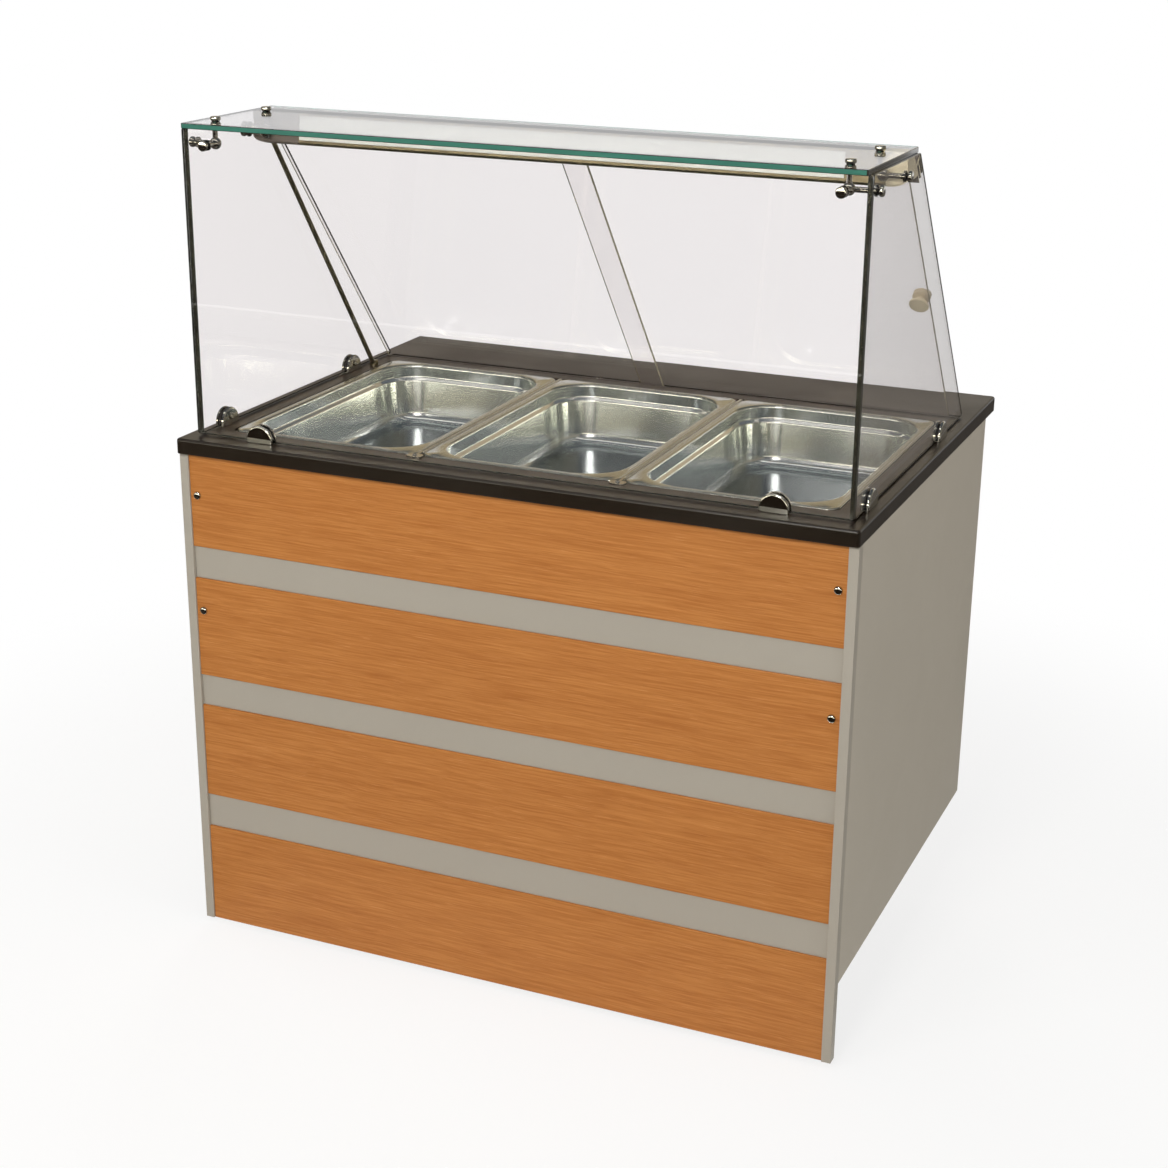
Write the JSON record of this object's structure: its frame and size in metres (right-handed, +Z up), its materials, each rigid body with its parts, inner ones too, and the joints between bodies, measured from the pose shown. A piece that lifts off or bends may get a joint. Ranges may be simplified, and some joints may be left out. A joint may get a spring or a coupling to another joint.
{
  "type": "hot buffet counter",
  "caption": "Heated serving counter: lift-out pans in a hot-water well, glass guard with sliding rear doors and a lamp, wood-boarded front on a grey body.",
  "frame": {"origin": "on the floor, under the middle of the worktop", "axes": "+X to the right seen from the customer side, +Y to the operator side, +Z up"},
  "size_m": [1.1, 0.816, 1.338],
  "materials": {
    "worktop_stone": "dark polished slab",
    "stainless": "bright stainless sheet",
    "chrome": "polished chrome",
    "guard_glass": "clear glass with green edges",
    "door_glass": "clear glass",
    "pad_rubber": "black rubber",
    "track_dark": "dark anodised",
    "lamp_metal": "bronze-grey lacquer",
    "lamp_white": "opal",
    "lamp_glass": "white coated tube",
    "socket_white": "moulded",
    "knob_cream": "cream moulded",
    "oak_board": "fine-grained wood laminate",
    "grey_board": "grey laminate on board",
    "grey_side": "grey laminate on board",
    "zinc_steel": "zinc plated",
    "control_black": "black moulded",
    "rocker_green": "translucent green",
    "pilot_amber": "amber lens",
    "valve_brass": "nickel-plated brass",
    "lever_red": "dipped grip",
    "foot_grey": "dark grey"
  },
  "bodies": {
    "counter": {"worktop": "worktop_stone", "well_tank": "stainless", "divider_bars": "stainless", "divider_tabs": "chrome", "heater_element": "stainless", "heater_flange": "stainless", "thermostat_bulb": "stainless", "drain_pipe": "stainless", "drain_valve": "valve_brass", "front_glass": "guard_glass", "side_glass_left": "guard_glass", "side_glass_right": "guard_glass", "top_glass": "guard_glass", "front_connectors": "chrome", "rear_connectors": "chrome", "connector_bolts": "chrome", "front_clamps": "chrome", "side_clamps": "chrome", "clamp_pads": "pad_rubber", "clamp_screws": "chrome", "lower_door_track": "track_dark", "upper_door_track": "lamp_metal", "lamp_housing": "lamp_metal", "lamp_diffuser": "lamp_white", "lamp_end_caps": "lamp_metal", "lamp_sockets": "socket_white", "lamp_tube": "lamp_glass", "lamp_conduit": "lamp_metal", "conduit_collar": "lamp_metal", "front_panel": "grey_board", "stile_left": "grey_board", "stile_right": "grey_board", "board_1": "oak_board", "board_2": "oak_board", "board_3": "oak_board", "board_4": "oak_board", "board_screws": "chrome", "side_panel_left": "grey_side", "side_panel_right": "grey_side", "bottom_panel": "grey_side", "worktop_brackets": "zinc_steel", "control_panel": "stainless", "thermostat_body": "control_black", "main_switch_housing": "control_black", "light_switch_housing": "control_black", "pilot_lamp": "pilot_amber", "cable_gland": "control_black", "foot_sockets": "foot_grey", "foot_stems": "foot_grey"},
    "door_left": {"door_left": "door_glass"},
    "door_right": {"door_right": "door_glass", "door_knob": "knob_cream", "door_knob_disc": "knob_cream"},
    "pan_left": {"pan_left": "stainless"},
    "pan_middle": {"pan_middle": "stainless"},
    "pan_right": {"pan_right": "stainless"},
    "thermostat_knob": {"thermostat_knob": "control_black"},
    "main_switch_rocker": {"main_switch_rocker": "rocker_green"},
    "light_switch_rocker": {"light_switch_rocker": "control_black"},
    "drain_lever": {"drain_lever": "lever_red"}
  },
  "joints": [
    {"name": "door_left_slide", "type": "slide", "parent": "counter", "child": "door_left", "axis": [1, 0, 0], "range_m": [0, 0.507]},
    {"name": "door_right_slide", "type": "slide", "parent": "counter", "child": "door_right", "axis": [1, 0, 0], "range_m": [-0.488, 0.018]},
    {"name": "pan_left_lift", "type": "slide", "parent": "counter", "child": "pan_left", "axis": [0, 0, 1], "range_m": [0, 0.025]},
    {"name": "pan_middle_lift", "type": "slide", "parent": "counter", "child": "pan_middle", "axis": [0, 0, 1], "range_m": [0, 0.025]},
    {"name": "pan_right_lift", "type": "slide", "parent": "counter", "child": "pan_right", "axis": [0, 0, 1], "range_m": [0, 0.025]},
    {"name": "thermostat_turn", "type": "hinge", "parent": "counter", "child": "thermostat_knob", "pos_m": [0.33, 0.345, 0.768], "axis": [0, 1, 0], "range_deg": [0, 270]},
    {"name": "main_switch_rock", "type": "hinge", "parent": "counter", "child": "main_switch_rocker", "pos_m": [0.405, 0.343, 0.768], "axis": [-1, 0, 0], "range_deg": [0, 18]},
    {"name": "light_switch_rock", "type": "hinge", "parent": "counter", "child": "light_switch_rocker", "pos_m": [0.45, 0.343, 0.768], "axis": [-1, 0, 0], "range_deg": [0, 18]},
    {"name": "drain_lever_turn", "type": "hinge", "parent": "counter", "child": "drain_lever", "pos_m": [0.3, 0.215, 0.624], "axis": [0, 0, -1], "range_deg": [0, 90]}
  ]
}
